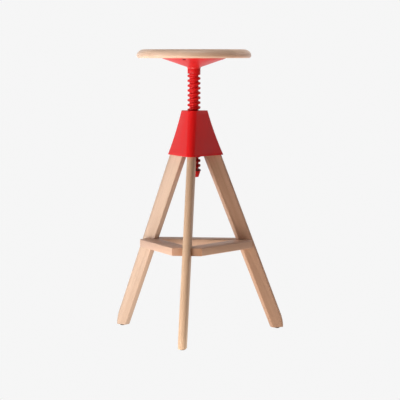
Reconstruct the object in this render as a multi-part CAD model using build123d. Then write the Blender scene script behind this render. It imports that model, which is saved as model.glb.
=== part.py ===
"""Height-adjustable bar stool: a round beech seat on a coarse screw spindle, which runs in a nut inside a
moulded hub on three splayed beech legs, with a triangular footrest between the legs.

Millimetres, +Z up. The origin is on the floor, on the spindle's axis. The front leg points along -Y, and
azimuths are counted from there towards +X.
"""
import os
from math import atan, ceil, cos, radians, sin

from build123d import *

# Seat
SEAT_HEIGHT = 753.0        # floor to seat top, as photographed
SEAT_R = 150.0
SEAT_T = 23.0
SEAT_LOW_ROUND = 6.5       # radius under the rim, up to the widest line
SEAT_TOP_ROUND = 20.0      # reach of the top round-over, in from the rim

# Flange that carries the seat
FLANGE_R = 83.0
FLANGE_H = 28.0
FLANGE_RIM = 1.3           # thickness left at the edge
FLANGE_WALL = 3.5
FLANGE_BOSS_R = 26.0
FLANGE_LAND = 21.0         # width of the solid ring under the seat
FLANGE_RIBS = 6
FLANGE_RIB_T = 3.0
COLLAR_R = 17.3
COLLAR_H = 4.0
COLLAR_FILLET = 4.0
SEAT_SCREW_IN = 9.0        # seat screws, in from the flange's edge
SEAT_SCREW_AZ = -12.75
SEAT_SCREW_L = 16.0
SEAT_SCREW_SHANK_R = 2.0
SEAT_SCREW_HEAD_R = 4.2
SEAT_SCREW_HEAD_H = 2.2
SEAT_SCREW_LAND = 2.4      # flange left between screw head and seat
SEAT_SCREWS = 3

# Spindle and its thread
NECK_R = 17.0
NECK_L = 13.0
THREAD_TAIL = 38.0         # thread below the hub, as photographed
PITCH = 12.7
MAJOR_R = 17.2
ROOT_R = 12.0
CREST_W = 4.4
RIDGE_FOOT_W = 8.2         # width of the ridge where it meets the root
CREST_Z = 676.8            # a crest lies at this height ...
CREST_AZ = 96.75           # ... and this azimuth, as photographed
THREAD_STEPS = 24          # facets in a turn
THREAD_SINK = 0.6          # ridge's foot inside the core
SPIGOT_R = 12.0
SPIGOT_L = 12.0
BOLT_R = 5.0
BOLT_L = 45.0
BOLT_HEAD_R = 8.0
BOLT_HEAD_H = 6.4
BOLT_SEAT = 7.0            # flange left between bolt head and spigot

# Stop washer and end cap at the foot of the spindle
WASHER_T = 2.5
WASHER_R = 18.1
CAP_H = 16.3
CAP_TOP_R = 17.2
CAP_END_R = 12.3
CAP_EDGE = 1.0
CAP_SCREW_R = 4.0
CAP_SCREW_L = 38.0
CAP_SCREW_HEAD_R = 7.0
CAP_SCREW_HEAD_H = 4.0
CAP_SCREW_SINK = 1.0       # head inside the cap's end

# Hub
HUB_TOP = 592.5
HUB_H = 117.5
HUB_WALL = 3.5
HUB_ROOF = 5.0
HUB_CORNER_WALL = 5.3      # hub surface outside the leg's outer edge, at its foot
HUB_CORNER_R = 15.0
HUB_TOP_REACH = 37.2       # axis to corner at the top
HUB_FLARE = 1.25           # hollow of the sides, half way up
SLEEVE_WALL = 3.0
POCKET_WALL = 3.0

# Nut inside the hub
NUT_WALL = 3.4
NUT_L = 34.0
NUT_INSET = 4.0            # nut's underside above the hub's lower edge
EAR_T = 5.0
EAR_R = 6.5
EAR_REACH = 33.0           # nut screws from the axis
EAR_BOSS_R = 5.5
EAR_BOSS_L = 22.0
NUT_SCREW_R = 2.0
NUT_SCREW_L = 20.0
NUT_SCREW_HEAD_R = 3.8
NUT_SCREW_HEAD_H = 2.5

# Legs
LEGS = ("front", "right", "left")
LEG_T = 20.0
LEG_FOOT_R = 229.9         # inner edge at the floor, from the axis
LEG_HEAD_IN = 2.55         # inner edge outside the hub's sleeve wall, at the hub's lower edge
LEG_DEPTH_FOOT = 37.4
LEG_DEPTH_HUB = 43.8
LEG_HEAD = 32.5            # leg's top below the hub's top
LEG_NOSE = 9.6             # round along the outer edge
LEG_ARRIS = 1.2            # chamfer along the inner edge
TOE_RISE = 36.0            # height over which the outer edge turns upright
LEG_SCREW_RISE = (30.0, 65.0)   # leg screws above the hub's lower edge
LEG_SCREW_R = 2.5
LEG_SCREW_L = 18.0
LEG_SCREW_HEAD_R = 4.2
LEG_SCREW_HEAD_H = 3.3
LEG_SCREW_LAND = 2.0       # socket wall under the screw head

# Footrest
FOOTREST_TOP = 246.0
FOOTREST_T = 20.0
RAIL_W = 52.5
NOTCH_DEPTH = 21.6         # how far the legs are let into the corners
CORNER_FLAT = 77.4         # width of the flat that cuts off each corner
RAIL_ARRIS = 1.5
DOWEL_R = 4.0
DOWEL_L = 60.0

# Glides
GLIDE_R = 6.0
GLIDE_H = 3.0
GLIDE_EDGE = 0.4
NAIL_R = 1.2
NAIL_L = 18.0
NAIL_HEAD_R = 3.5
NAIL_HEAD_H = 0.7
NAIL_COVER = 0.4           # plastic over the nail's head

# Clearances
THREAD_GAP = 0.5
GUIDE_GAP = 0.45
WASHER_GAP = 0.25
POCKET_GAP = 0.15
HEAD_GAP = 0.4             # round a screw's head
FIT_GAP = 0.05

# Heights and radii that follow from the sizes above
FLANGE_TOP = SEAT_HEIGHT - SEAT_T
FLANGE_BOTTOM = FLANGE_TOP - FLANGE_H
HUB_BOTTOM = HUB_TOP - HUB_H
THREAD_TOP = FLANGE_BOTTOM - NECK_L
THREAD_BOTTOM = HUB_BOTTOM - THREAD_TAIL
THREAD_L = THREAD_TOP - THREAD_BOTTOM
SPINDLE_END = THREAD_BOTTOM - WASHER_T - 2 * WASHER_GAP
CAP_END = SPINDLE_END - CAP_H
NUT_BOTTOM = HUB_BOTTOM + NUT_INSET
NUT_TOP = NUT_BOTTOM + NUT_L
NUT_R = MAJOR_R + THREAD_GAP + NUT_WALL
SLEEVE_R = NUT_R + FIT_GAP + SLEEVE_WALL
LEG_TRIM_R = SLEEVE_R + POCKET_WALL
LEG_TOP = HUB_TOP - LEG_HEAD
SPLAY_SLOPE = (LEG_FOOT_R - LEG_TRIM_R - LEG_HEAD_IN) / HUB_BOTTOM
LEG_SPLAY = atan(SPLAY_SLOPE)
SEAT_SCREW_R = FLANGE_R - SEAT_SCREW_IN
CONE_SLOPE = (FLANGE_R - COLLAR_R) / (FLANGE_H - COLLAR_H - FLANGE_RIM)
LEG_AZ = {name: i * 360 / len(LEGS) for i, name in enumerate(LEGS)}


def turned(shape, azimuth):
    """A shape drawn with its radius along +X, turned to an azimuth."""
    return shape.rotate(Axis.Z, azimuth - 90)


def upright(r, z0, z1, x=0.0):
    """A cylinder standing from z0 to z1, its axis at x."""
    return Pos(x, 0, z0) * Cylinder(r, z1 - z0, align=(Align.CENTER, Align.CENTER, Align.MIN))


def lying(r, x0, x1, z):
    """A cylinder along +X from x0 to x1 at height z."""
    rod = Cylinder(r, x1 - x0, align=(Align.CENTER, Align.CENTER, Align.MIN))
    return Pos(x0, 0, z) * Rot(0, 90, 0) * rod


def revolved(points):
    """A solid turned about Z from an outline of (radius, height) points."""
    return revolve(make_face(Plane.XZ * Polyline(*points, close=True)), Axis.Z)


def cone_z(r):
    """Height of the flange's conical underside at a radius."""
    return FLANGE_BOTTOM + COLLAR_H + (r - COLLAR_R) / CONE_SLOPE


def leg_inner(z):
    return LEG_FOOT_R - z * SPLAY_SLOPE


def leg_outer(z):
    depth = LEG_DEPTH_FOOT + (LEG_DEPTH_HUB - LEG_DEPTH_FOOT) * z / HUB_BOTTOM
    return leg_inner(z) + depth / cos(LEG_SPLAY)


TOE_TOP = GLIDE_H + TOE_RISE
TOE_LEAN = (leg_outer(0) - leg_outer(TOE_TOP)) / TOE_TOP
# The toe's arc turns from the leg's lean to upright, and ends this far out.
TOE_R = leg_outer(TOE_TOP) + TOE_RISE * ((1 + TOE_LEAN**2) ** 0.5 - 1) / TOE_LEAN
GLIDE_CENTRE_R = (leg_inner(GLIDE_H) + TOE_R) / 2
FOOTREST_MID = FOOTREST_TOP - FOOTREST_T / 2
CORNER_R = leg_inner(FOOTREST_MID) + NOTCH_DEPTH
HALF_CORNER = 180 / len(LEGS)
FOOTREST_OUT = CORNER_R * cos(radians(HALF_CORNER)) + CORNER_FLAT / 2 * sin(radians(HALF_CORNER))


def thread_azimuth(z):
    return CREST_AZ + 360 * (z - CREST_Z) / PITCH


def ridge(z0, z1, grow=0.0):
    """The thread's helical ridge from z0 to z1, thickened by grow on every face, in flat facets."""
    slope = (RIDGE_FOOT_W - CREST_W) / 2 / (MAJOR_R - ROOT_R)
    side = CREST_W / 2 + grow * (1 + slope**2) ** 0.5
    outline = [(r, side + (MAJOR_R - r) * slope) for r in (ROOT_R - THREAD_SINK, MAJOR_R + grow)]
    corners = [(r, -h) for r, h in outline] + [(r, h) for r, h in reversed(outline)]
    rows = []
    for step in range(ceil((z1 - z0) / PITCH * THREAD_STEPS) + 1):
        z = z0 + PITCH * step / THREAD_STEPS
        turn = radians(thread_azimuth(z) - 90)
        rows.append([Vector(r * cos(turn), r * sin(turn), z + h) for r, h in corners])
    facets = [rows[0], rows[-1]]
    for low, high in zip(rows, rows[1:]):
        for i, j in ((1, 2), (3, 0)):
            facets.append([low[i], low[j], high[j], high[i]])
        for i, j in ((0, 1), (2, 3)):
            facets += [[low[i], low[j], high[j]], [low[i], high[j], high[i]]]
    return Solid(Shell([Face(Wire.make_polygon(facet)) for facet in facets]))


def thread_core(z0, z1, grow=0.0):
    """The round under the thread, in facets that line up with the ridge's."""
    core = RegularPolygon(ROOT_R + grow, THREAD_STEPS, rotation=thread_azimuth(z0) - 90)
    return Pos(0, 0, z0) * extrude(core, z1 - z0)


def screw(shank_r, shank_l, head_r, head_h):
    """A screw along +Z with its head's underside at the origin and its shank above."""
    head = RegularPolygon(head_r, 6, major_radius=True)
    return upright(shank_r, 0, shank_l) + Pos(0, 0, -head_h) * extrude(head, head_h)


def seat_disc():
    # The top round-over is two tangent arcs of an eighth turn each, tight at the rim and easy on top.
    half = sin(radians(45))
    rise = SEAT_T - SEAT_LOW_ROUND
    easy_r = (SEAT_TOP_ROUND * half - rise * (1 - half)) / (half**2 - (1 - half) ** 2)
    tight_r = (rise - easy_r * (1 - half)) / half
    low = JernArc((SEAT_R - SEAT_LOW_ROUND, FLANGE_TOP), (1, 0), SEAT_LOW_ROUND, 90)
    tight = JernArc(low @ 1, (0, 1), tight_r, 45)
    easy = JernArc(tight @ 1, (-1, 1), easy_r, 45)
    base = Polyline(easy @ 1, (0, SEAT_HEIGHT), (0, FLANGE_TOP), low @ 0)
    seat = revolve(make_face(Plane.XZ * Curve([low, tight, easy, base])), Axis.Z)
    for azimuth in seat_screw_azimuths():
        seat -= turned(seat_screw(FIT_GAP), azimuth)
    return seat


def seat_screw_azimuths():
    return [SEAT_SCREW_AZ + i * 360 / SEAT_SCREWS for i in range(SEAT_SCREWS)]


def seat_screw(gap=0.0):
    one = screw(SEAT_SCREW_SHANK_R + gap, SEAT_SCREW_L, SEAT_SCREW_HEAD_R, SEAT_SCREW_HEAD_H)
    return Pos(SEAT_SCREW_R, 0, FLANGE_TOP - SEAT_SCREW_LAND) * one


def flange_bolt(gap=0.0):
    head_z = FLANGE_BOTTOM + SPIGOT_L + BOLT_SEAT
    return upright(BOLT_R + gap, head_z - BOLT_L, head_z) + upright(BOLT_HEAD_R, head_z, head_z + BOLT_HEAD_H)


def seat_flange():
    shoulder = (COLLAR_R, FLANGE_BOTTOM + COLLAR_H)
    half = make_face(
        Plane.XZ
        * Polyline(
            (0, FLANGE_BOTTOM), (COLLAR_R, FLANGE_BOTTOM), shoulder, (FLANGE_R, FLANGE_TOP - FLANGE_RIM),
            (FLANGE_R, FLANGE_TOP), (0, FLANGE_TOP), close=True,
        )
    )
    corner = half.vertices().sort_by_distance((shoulder[0], 0, shoulder[1]))[0]
    flange = revolve(fillet(corner, COLLAR_FILLET), Axis.Z)
    land = FLANGE_R - FLANGE_LAND
    floor = FLANGE_WALL * (1 + CONE_SLOPE**2) ** 0.5 / CONE_SLOPE
    moat = revolved(
        [(FLANGE_BOSS_R, cone_z(FLANGE_BOSS_R) + floor), (land, cone_z(land) + floor),
         (land, FLANGE_TOP), (FLANGE_BOSS_R, FLANGE_TOP)]
    )
    rib = Pos((FLANGE_BOSS_R + land) / 2, 0, FLANGE_TOP) * Box(
        land - FLANGE_BOSS_R + 2 * FLANGE_WALL, FLANGE_RIB_T, 2 * FLANGE_H
    )
    for i in range(FLANGE_RIBS):
        moat -= turned(rib, SEAT_SCREW_AZ + (i + 0.5) * 360 / FLANGE_RIBS)
    flange -= moat
    flange -= upright(SPIGOT_R + FIT_GAP, FLANGE_BOTTOM, FLANGE_BOTTOM + SPIGOT_L + FIT_GAP)
    flange -= flange_bolt(FIT_GAP)
    head_z = FLANGE_BOTTOM + SPIGOT_L + BOLT_SEAT
    flange -= upright(BOLT_HEAD_R + HEAD_GAP, head_z, FLANGE_TOP)
    for azimuth in seat_screw_azimuths():
        flange -= turned(upright(SEAT_SCREW_SHANK_R + FIT_GAP, cone_z(0), FLANGE_TOP, SEAT_SCREW_R), azimuth)
        well = upright(SEAT_SCREW_HEAD_R + 2 * HEAD_GAP, FLANGE_BOTTOM, FLANGE_TOP - SEAT_SCREW_LAND, SEAT_SCREW_R)
        flange -= turned(well, azimuth)
    return flange


def cap_screw(gap=0.0):
    z = CAP_END + CAP_SCREW_SINK
    head = upright(CAP_SCREW_HEAD_R, z, z + CAP_SCREW_HEAD_H)
    return head + upright(CAP_SCREW_R + gap, z, z + CAP_SCREW_L)


def screw_spindle():
    low, high = THREAD_BOTTOM - PITCH, THREAD_TOP + PITCH
    cut = Box(4 * MAJOR_R, 4 * MAJOR_R, THREAD_L, align=(Align.CENTER, Align.CENTER, Align.MIN))
    spindle = (thread_core(low, high) + ridge(low, high)) & (Pos(0, 0, THREAD_BOTTOM) * cut)
    spindle += upright(ROOT_R, SPINDLE_END, THREAD_BOTTOM)
    spindle += upright(NECK_R, THREAD_TOP, FLANGE_BOTTOM)
    spindle += upright(SPIGOT_R, FLANGE_BOTTOM, FLANGE_BOTTOM + SPIGOT_L)
    spindle -= flange_bolt(FIT_GAP)
    spindle -= cap_screw(FIT_GAP)
    return spindle


def stop_washer():
    z = SPINDLE_END + WASHER_GAP
    return upright(WASHER_R, z, z + WASHER_T) - upright(ROOT_R + 2 * WASHER_GAP, z, z + WASHER_T)


def end_cap():
    cap = revolved(
        [(0, CAP_END), (CAP_END_R - CAP_EDGE, CAP_END), (CAP_END_R, CAP_END + CAP_EDGE),
         (CAP_TOP_R, SPINDLE_END), (0, SPINDLE_END)]
    )
    cap -= upright(CAP_SCREW_HEAD_R + FIT_GAP, CAP_END, CAP_END + CAP_SCREW_SINK + CAP_SCREW_HEAD_H)
    return cap - upright(CAP_SCREW_R + FIT_GAP, CAP_END, SPINDLE_END)


def leg(grow=0.0):
    """One leg in the XZ plane, its outer edge towards +X; grow swells the part inside the hub."""
    swell = grow / cos(LEG_SPLAY)
    trim = LEG_TRIM_R - grow
    knee_z = (LEG_FOOT_R - swell - trim) / SPLAY_SLOPE
    top = LEG_TOP + grow
    toe = (leg_outer(TOE_TOP) + swell, TOE_TOP)
    turn = TangentArc(toe, (TOE_R + swell, GLIDE_H), tangent=(TOE_LEAN, -1))
    rest = Polyline(
        turn @ 1, (leg_inner(GLIDE_H) - swell, GLIDE_H), (trim, knee_z), (trim, top),
        (leg_outer(top) + swell, top), toe,
    )
    side = make_face(Plane.XZ * Curve([turn, rest]))
    blank = extrude(side, LEG_T / 2 + grow, both=True)
    edges = blank.edges().filter_by(lambda e: abs(e.tangent_at(0.5).Y) < 0.1)
    outer = [e for e in edges if (e @ 0.5).X > leg_outer((e @ 0.5).Z) - 1 - TOE_RISE * TOE_LEAN / 2 and
             abs((e @ 0).Z - (e @ 1).Z) > TOE_RISE / 2]
    blank = fillet(outer, LEG_NOSE)
    inner = [e for e in blank.edges().filter_by(GeomType.LINE)
             if abs((e @ 0.5).X - leg_inner((e @ 0.5).Z) + swell) < 0.01 and e.length > LEG_T * 2]
    return chamfer(inner, LEG_ARRIS)


def leg_screw(rise, gap=0.0):
    one = screw(LEG_SCREW_R + gap, LEG_SCREW_L, LEG_SCREW_HEAD_R, LEG_SCREW_HEAD_H)
    return Pos(LEG_TRIM_R - LEG_SCREW_LAND, 0, HUB_BOTTOM + rise) * Rot(0, 90, 0) * one


def dowel(gap=0.0):
    r = leg_inner(FOOTREST_MID) + NOTCH_DEPTH / 2
    return Pos(r, 0, FOOTREST_MID) * Rot(90, 0, 0) * Cylinder(DOWEL_R + gap, DOWEL_L)


def nail(gap=0.0):
    z = GLIDE_H - NAIL_COVER
    head = upright(NAIL_HEAD_R + gap, z - NAIL_HEAD_H - gap, z + gap, GLIDE_CENTRE_R)
    return head + upright(NAIL_R + gap, z - NAIL_HEAD_H, z + NAIL_L, GLIDE_CENTRE_R)


def finished_leg():
    solid = leg() - dowel(FIT_GAP) - nail(FIT_GAP)
    for rise in LEG_SCREW_RISE:
        solid -= leg_screw(rise, FIT_GAP)
    return solid


def glide():
    disc = upright(GLIDE_R, 0, GLIDE_H, GLIDE_CENTRE_R)
    disc = chamfer(disc.edges().group_by(Axis.Z)[0], GLIDE_EDGE)
    return disc - nail(FIT_GAP)


def hub_form(inset=0.0):
    """A triangle whose sides curve in from foot to top, its rounded corners over the legs."""
    foot = (leg_outer(HUB_BOTTOM) + HUB_CORNER_WALL + HUB_CORNER_R) / 2 - inset
    top = (HUB_TOP_REACH + HUB_CORNER_R) / 2 - inset
    far = 4 * foot
    side = SagittaArc((foot, HUB_BOTTOM), (top, HUB_TOP), HUB_FLARE)
    rest = Polyline(side @ 1, (-far, HUB_TOP), (-far, HUB_BOTTOM), side @ 0)
    slab = extrude(make_face(Plane.XZ * Curve([side, rest])), far, both=True)
    block = upright(far, HUB_BOTTOM, HUB_TOP)
    for azimuth in ear_azimuths():
        block &= turned(slab, azimuth)
    corners = [e for e in block.edges() if abs((e @ 0).Z - (e @ 1).Z) > HUB_H / 2]
    return fillet(corners, HUB_CORNER_R - inset)


def ear_azimuths():
    return [azimuth + HALF_CORNER for azimuth in LEG_AZ.values()]


def nut_screw(gap=0.0):
    one = screw(NUT_SCREW_R + gap, NUT_SCREW_L, NUT_SCREW_HEAD_R, NUT_SCREW_HEAD_H)
    return Pos(EAR_REACH, 0, NUT_BOTTOM) * one


def hub_housing():
    outer = hub_form()
    ear_top = NUT_BOTTOM + EAR_T
    inside = hub_form(HUB_WALL) & upright(4 * HUB_TOP_REACH, HUB_BOTTOM, HUB_TOP - HUB_ROOF)
    hub = outer - inside
    webs = upright(SLEEVE_R, ear_top, HUB_TOP)
    for azimuth in LEG_AZ.values():
        block = Pos(0, 0, HUB_BOTTOM) * Box(
            4 * HUB_TOP_REACH, LEG_T + 2 * POCKET_WALL, LEG_TOP + POCKET_WALL - HUB_BOTTOM,
            align=(Align.MIN, Align.CENTER, Align.MIN),
        )
        webs += turned(block, azimuth)
    boss = upright(EAR_BOSS_R, ear_top, ear_top + EAR_BOSS_L, EAR_REACH)
    boss += Pos(0, 0, ear_top) * Box(
        4 * HUB_TOP_REACH, POCKET_WALL, EAR_BOSS_L, align=(Align.MIN, Align.CENTER, Align.MIN)
    )
    for azimuth in ear_azimuths():
        webs += turned(boss, azimuth)
    hub += webs & outer
    hub -= upright(NUT_R + FIT_GAP, HUB_BOTTOM, NUT_TOP)
    hub -= upright(MAJOR_R + GUIDE_GAP, HUB_BOTTOM, HUB_TOP)
    for azimuth in LEG_AZ.values():
        hub -= turned(leg(POCKET_GAP), azimuth)
        for rise in LEG_SCREW_RISE:
            hub -= turned(leg_screw(rise, FIT_GAP), azimuth)
            well = lying(LEG_SCREW_HEAD_R + HEAD_GAP, 0, LEG_TRIM_R - LEG_SCREW_LAND, HUB_BOTTOM + rise)
            hub -= turned(well, azimuth)
    for azimuth in ear_azimuths():
        hub -= turned(nut_screw(FIT_GAP), azimuth)
    return hub


def spindle_nut():
    nut = upright(NUT_R, NUT_BOTTOM, NUT_TOP)
    arm = Pos(0, 0, NUT_BOTTOM) * Box(EAR_REACH, 2 * EAR_R, EAR_T, align=(Align.MIN, Align.CENTER, Align.MIN))
    arm += upright(EAR_R, NUT_BOTTOM, NUT_BOTTOM + EAR_T, EAR_REACH)
    for azimuth in ear_azimuths():
        nut += turned(arm, azimuth)
    low, high = NUT_BOTTOM - PITCH, NUT_TOP + PITCH
    nut -= thread_core(low, high, THREAD_GAP) + ridge(low, high, THREAD_GAP)
    for azimuth in ear_azimuths():
        nut -= turned(upright(NUT_SCREW_R + FIT_GAP, NUT_BOTTOM, NUT_TOP, EAR_REACH), azimuth)
    return nut


def footrest_rail(azimuth):
    """The rail between the leg at this azimuth and the next, mitred on both legs."""
    length = 4 * FOOTREST_OUT
    z = FOOTREST_TOP - FOOTREST_T
    bar = Pos(FOOTREST_OUT - RAIL_W, 0, z) * Box(
        RAIL_W, length, FOOTREST_T, align=(Align.MIN, Align.CENTER, Align.MIN)
    )
    bar = chamfer(bar.edges().filter_by(Axis.Y), RAIL_ARRIS)
    far = 2 * CORNER_R
    x, y = far * cos(radians(HALF_CORNER)), far * sin(radians(HALF_CORNER))
    wedge = make_face(Polyline((0, 0), (x, -y), (x, y), close=True))
    bar &= Pos(0, 0, z) * extrude(wedge, FOOTREST_T)
    rail = turned(bar, azimuth + HALF_CORNER)
    beyond = Pos(CORNER_R, 0, z) * Box(far, far, FOOTREST_T, align=(Align.MIN, Align.CENTER, Align.MIN))
    for end in (azimuth, azimuth + 2 * HALF_CORNER):
        rail -= turned(beyond, end)
        rail -= turned(leg(), end)
        rail -= turned(dowel(FIT_GAP), end)
    return rail


def ring_of(shape, azimuths):
    """Copies of one fastener, kept as separate solids."""
    return Compound(children=[turned(shape, azimuth) for azimuth in azimuths])


def build():
    parts = {
        "seat_disc": seat_disc(),
        "seat_flange": seat_flange(),
        "seat_screws": ring_of(seat_screw(), seat_screw_azimuths()),
        "flange_bolt": flange_bolt(),
        "screw_spindle": screw_spindle(),
        "stop_washer": stop_washer(),
        "end_cap": end_cap(),
        "end_cap_screw": cap_screw(),
        "hub_housing": hub_housing(),
        "spindle_nut": spindle_nut(),
        "nut_screws": ring_of(nut_screw(), ear_azimuths()),
        "footrest_dowels": ring_of(dowel(), LEG_AZ.values()),
        "glide_nails": ring_of(nail(), LEG_AZ.values()),
    }
    fasteners = [turned(leg_screw(rise), azimuth) for azimuth in LEG_AZ.values() for rise in LEG_SCREW_RISE]
    parts["leg_screws"] = Compound(children=fasteners)
    for name, azimuth in LEG_AZ.items():
        parts[f"leg_{name}"] = turned(finished_leg(), azimuth)
        parts[f"glide_{name}"] = turned(glide(), azimuth)
    for name, azimuth in zip(("right", "back", "left"), LEG_AZ.values()):
        parts[f"footrest_rail_{name}"] = footrest_rail(azimuth)
    return parts


os.makedirs("parts", exist_ok=True)
for node, shape in build().items():
    export_step(shape, f"parts/{node}.step")
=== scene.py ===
"""Looks of a bar stool whose round beech seat turns up and down on a coarse red screw.

Everything is in metres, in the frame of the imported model: +Z up, the floor at zero, the front leg towards -Y.
"""
import math

import bpy
from bpy.props import FloatProperty, FloatVectorProperty, IntProperty, PointerProperty
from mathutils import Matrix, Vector


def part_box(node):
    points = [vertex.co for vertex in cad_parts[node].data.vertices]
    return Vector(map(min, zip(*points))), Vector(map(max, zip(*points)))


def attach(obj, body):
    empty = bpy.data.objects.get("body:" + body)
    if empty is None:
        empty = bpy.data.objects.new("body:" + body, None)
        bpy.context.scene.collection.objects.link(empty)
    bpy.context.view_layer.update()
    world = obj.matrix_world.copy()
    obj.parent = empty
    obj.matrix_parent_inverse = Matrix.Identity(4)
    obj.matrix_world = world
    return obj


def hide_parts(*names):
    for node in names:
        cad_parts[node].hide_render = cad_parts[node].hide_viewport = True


bl_info = {
    "name": "Screw Bar Stool",
    "version": (1, 0, 0),
    "blender": (4, 5, 0),
    "location": "View3D > Sidebar > Stool",
    "description": "Models and finishes the visible pieces of a bar stool with a screw-adjusted seat",
    "category": "Object",
}

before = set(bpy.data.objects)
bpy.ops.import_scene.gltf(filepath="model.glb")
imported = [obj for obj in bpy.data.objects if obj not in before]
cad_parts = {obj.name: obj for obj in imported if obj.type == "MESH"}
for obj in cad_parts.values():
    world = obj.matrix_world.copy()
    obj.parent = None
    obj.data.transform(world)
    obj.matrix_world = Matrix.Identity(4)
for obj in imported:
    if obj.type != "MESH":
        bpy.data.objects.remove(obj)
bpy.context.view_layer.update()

# Angle of each leg round the axis and of each rail's run, in degrees from +X.
LEG_TURNS = {"front": -90.0, "right": 30.0, "left": 150.0}
RAIL_TURNS = {"right": 60.0, "back": 0.0, "left": -60.0}

# Each piece is cut from its own board, a little yellower, browner or paler than the rest.
SEAT_TONE = (1.14, 1.07, 1.02)
LEG_TONES = {"front": (0.87, 0.84, 0.77), "right": (0.88, 0.77, 0.71), "left": (0.88, 0.88, 0.89)}
RAIL_TONES = {"right": (0.95, 0.87, 0.83), "back": (0.95, 0.86, 0.82), "left": (0.91, 0.84, 0.84)}
SEAT_GRAIN = (0.997, 0.078, 0.0)
DOWEL_GRAIN = (1.0, 0.0, 0.0)

# Scales of the wood's textures: the first is along the grain.
DRIFT = (2.5, 14, 14)
GROWTH_LINES = (3, 170, 170)
BROAD_BANDS = (1.2, 32, 32)
FIBRES = (60, 1500, 1500)
FLECKS = (260, 1150, 1150)
BEND = (0.0, 0.012, 0.012)     # how far the drift bends the growth lines
FLECK_ABOVE = 0.62             # share of the cells that have no fleck
FLECK_WEIGHT = 0.4
FLECK_ROUGHNESS = 0.08         # what a fleck adds to the roughness
FIBRE_HEIGHT = 0.6             # shares of the skin's height that fibres stand up and flecks lie below it
FLECK_DEPTH = 0.5
STAVE_SEED = 14.0
STAVE_MOVE = (3.0, 1.0, 2.0)   # how far the grain may shift from stave to stave
SEAM_HALF = 0.006              # half of a glue line, as a share of a stave
SEAM_WEIGHT = 0.35
CUT_ACROSS = (0.5, 0.8)        # how far a face looks along the grain where end grain starts and is full
WOOD_SHINE = 0.35
LACQUER_ROUGHNESS = 0.35

# Name, imported node, body, edge rounding, tone and shine of each red moulding. The tone paints light and shade into
# one red: a little lighter on the flange, darker on the cap.
MOULDINGS = (
    ("hub", "hub_housing", "base", 0.0006, 1.0, 0.14),
    # Painted light: the flange is painted a little lighter than the hub for the light that reaches it from below.
    ("flange", "seat_flange", "seat_unit", 0.0004, 1.03, 0.6),
    # Painted shade: the cap is painted darker than the hub for the shade it sits in under the hub.
    ("cap", "end_cap", "seat_unit", 0.0005, 0.9, 0.2),
)

# Colour, roughness and size of texture of the small mouldings.
ACETAL = ((0.34, 0.34, 0.33), 0.45, 0.0008)
RUBBER = ((0.09, 0.008, 0.010), 0.75, 0.0004)
GLIDE = ((0.020, 0.018, 0.016), 0.55, 0.0005)
FLOW_MARKS = (22, 22, 9)

# Dark and bright colour of each steel.
ZINC = ((0.50, 0.50, 0.49), (0.66, 0.66, 0.67))
BLACK_STEEL = ((0.028, 0.027, 0.027), (0.055, 0.052, 0.050))
TURNING_MARKS = (900, 900, 2600)
STEEL_PATCHES = 160.0

# Head radius, head height, shank radius and shank length of the screws with domed heads.
SEAT_SCREW = (0.0042, 0.0022, 0.0020, 0.0160)
NUT_SCREW = (0.0038, 0.0025, 0.0020, 0.0200)
CAP_SCREW = (0.0070, 0.0040, 0.0040, 0.0340)
DOME = 0.6                     # rounding of a head, as a share of its height
RECESS = (1.15, 0.26, 1.1)     # cutter's length and width by the head's radius, and its height by the head's

WOOD_EDGE = 0.0005             # rounding of the legs' and the rails' edges
SMALL_EDGE = 0.0004            # rounding of the nut's and the washer's edges
SKIN_DEPTH = 0.00003           # height of the grain of wood and plastic
MARK_DEPTH = 0.00001           # height of turning marks in steel
ROD_SIDES = 64
SHARP = math.radians(30)       # edges above this angle are rounded, and are sharp in shading
SHARP_ROD = math.radians(35)   # edges of joined bars above this angle are sharp in shading
FLAT = math.radians(0.2)       # faces within this angle are merged
WELD = 0.000002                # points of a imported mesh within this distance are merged
THREAD_WELD = 0.00001          # the same for the thread
THREAD_CUT = 0.000001          # points within this distance of a cut lie on it
DOT = 0.001                    # size of the plane that shrinks to the outline's first point

# Place, target, size and colour of each light.
LIGHTS = {
    "key": ((-2.7, -1.35, 0.7), (0.0, 0.0, 0.45), 1.8, (0.96, 1.0, 1.03)),
    "top": ((0.0, -0.1, 2.4), (0.0, 0.0, 0.7), 0.8, (1.0, 1.0, 1.0)),
    "side": ((1.6, 0.62, 1.3), (0.0, 0.0, 0.6), 0.8, (1.0, 0.96, 0.94)),
    "low": ((-0.45, -0.88, 0.07), (0.0, -0.2, 0.2), 0.35, (1.0, 0.92, 0.82)),
    "fore": ((-0.45, -1.6, 0.12), (0.0, 0.0, 0.3), 0.6, (1.0, 0.92, 0.82)),
}
WHITE = (1.0, 1.0, 1.0, 1.0)
BLACK = (0.0, 0.0, 0.0, 1.0)
FLOOR_SIZE = 40.0
FLOOR_AT = (0.0, 12.0, 0.0)
FOOT_AT = (-0.04, -0.28, 0.0)  # middle of the floor's bright patch, by the front foot
FOOT_FADE = (0.10, 0.80)       # distances from there over which the patch fades
LEFT_TO_RIGHT = (-0.7, 0.5)    # X over which the floor's light changes from left to right
TO_BACKDROP = (0.3, 1.0)       # Y over which the floor turns into the backdrop
BACKDROP_TO = (-0.17, 0.985, 0.0)
BACKDROP_SIDES = (0.4, 0.85)   # how far a direction is towards the backdrop where its light starts and is full
BACKDROP_TOP = (0.7, 0.3)      # height of a direction where its light ends and is full
SENSOR_W = 36.0
CLIP_END = 100.0


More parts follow.
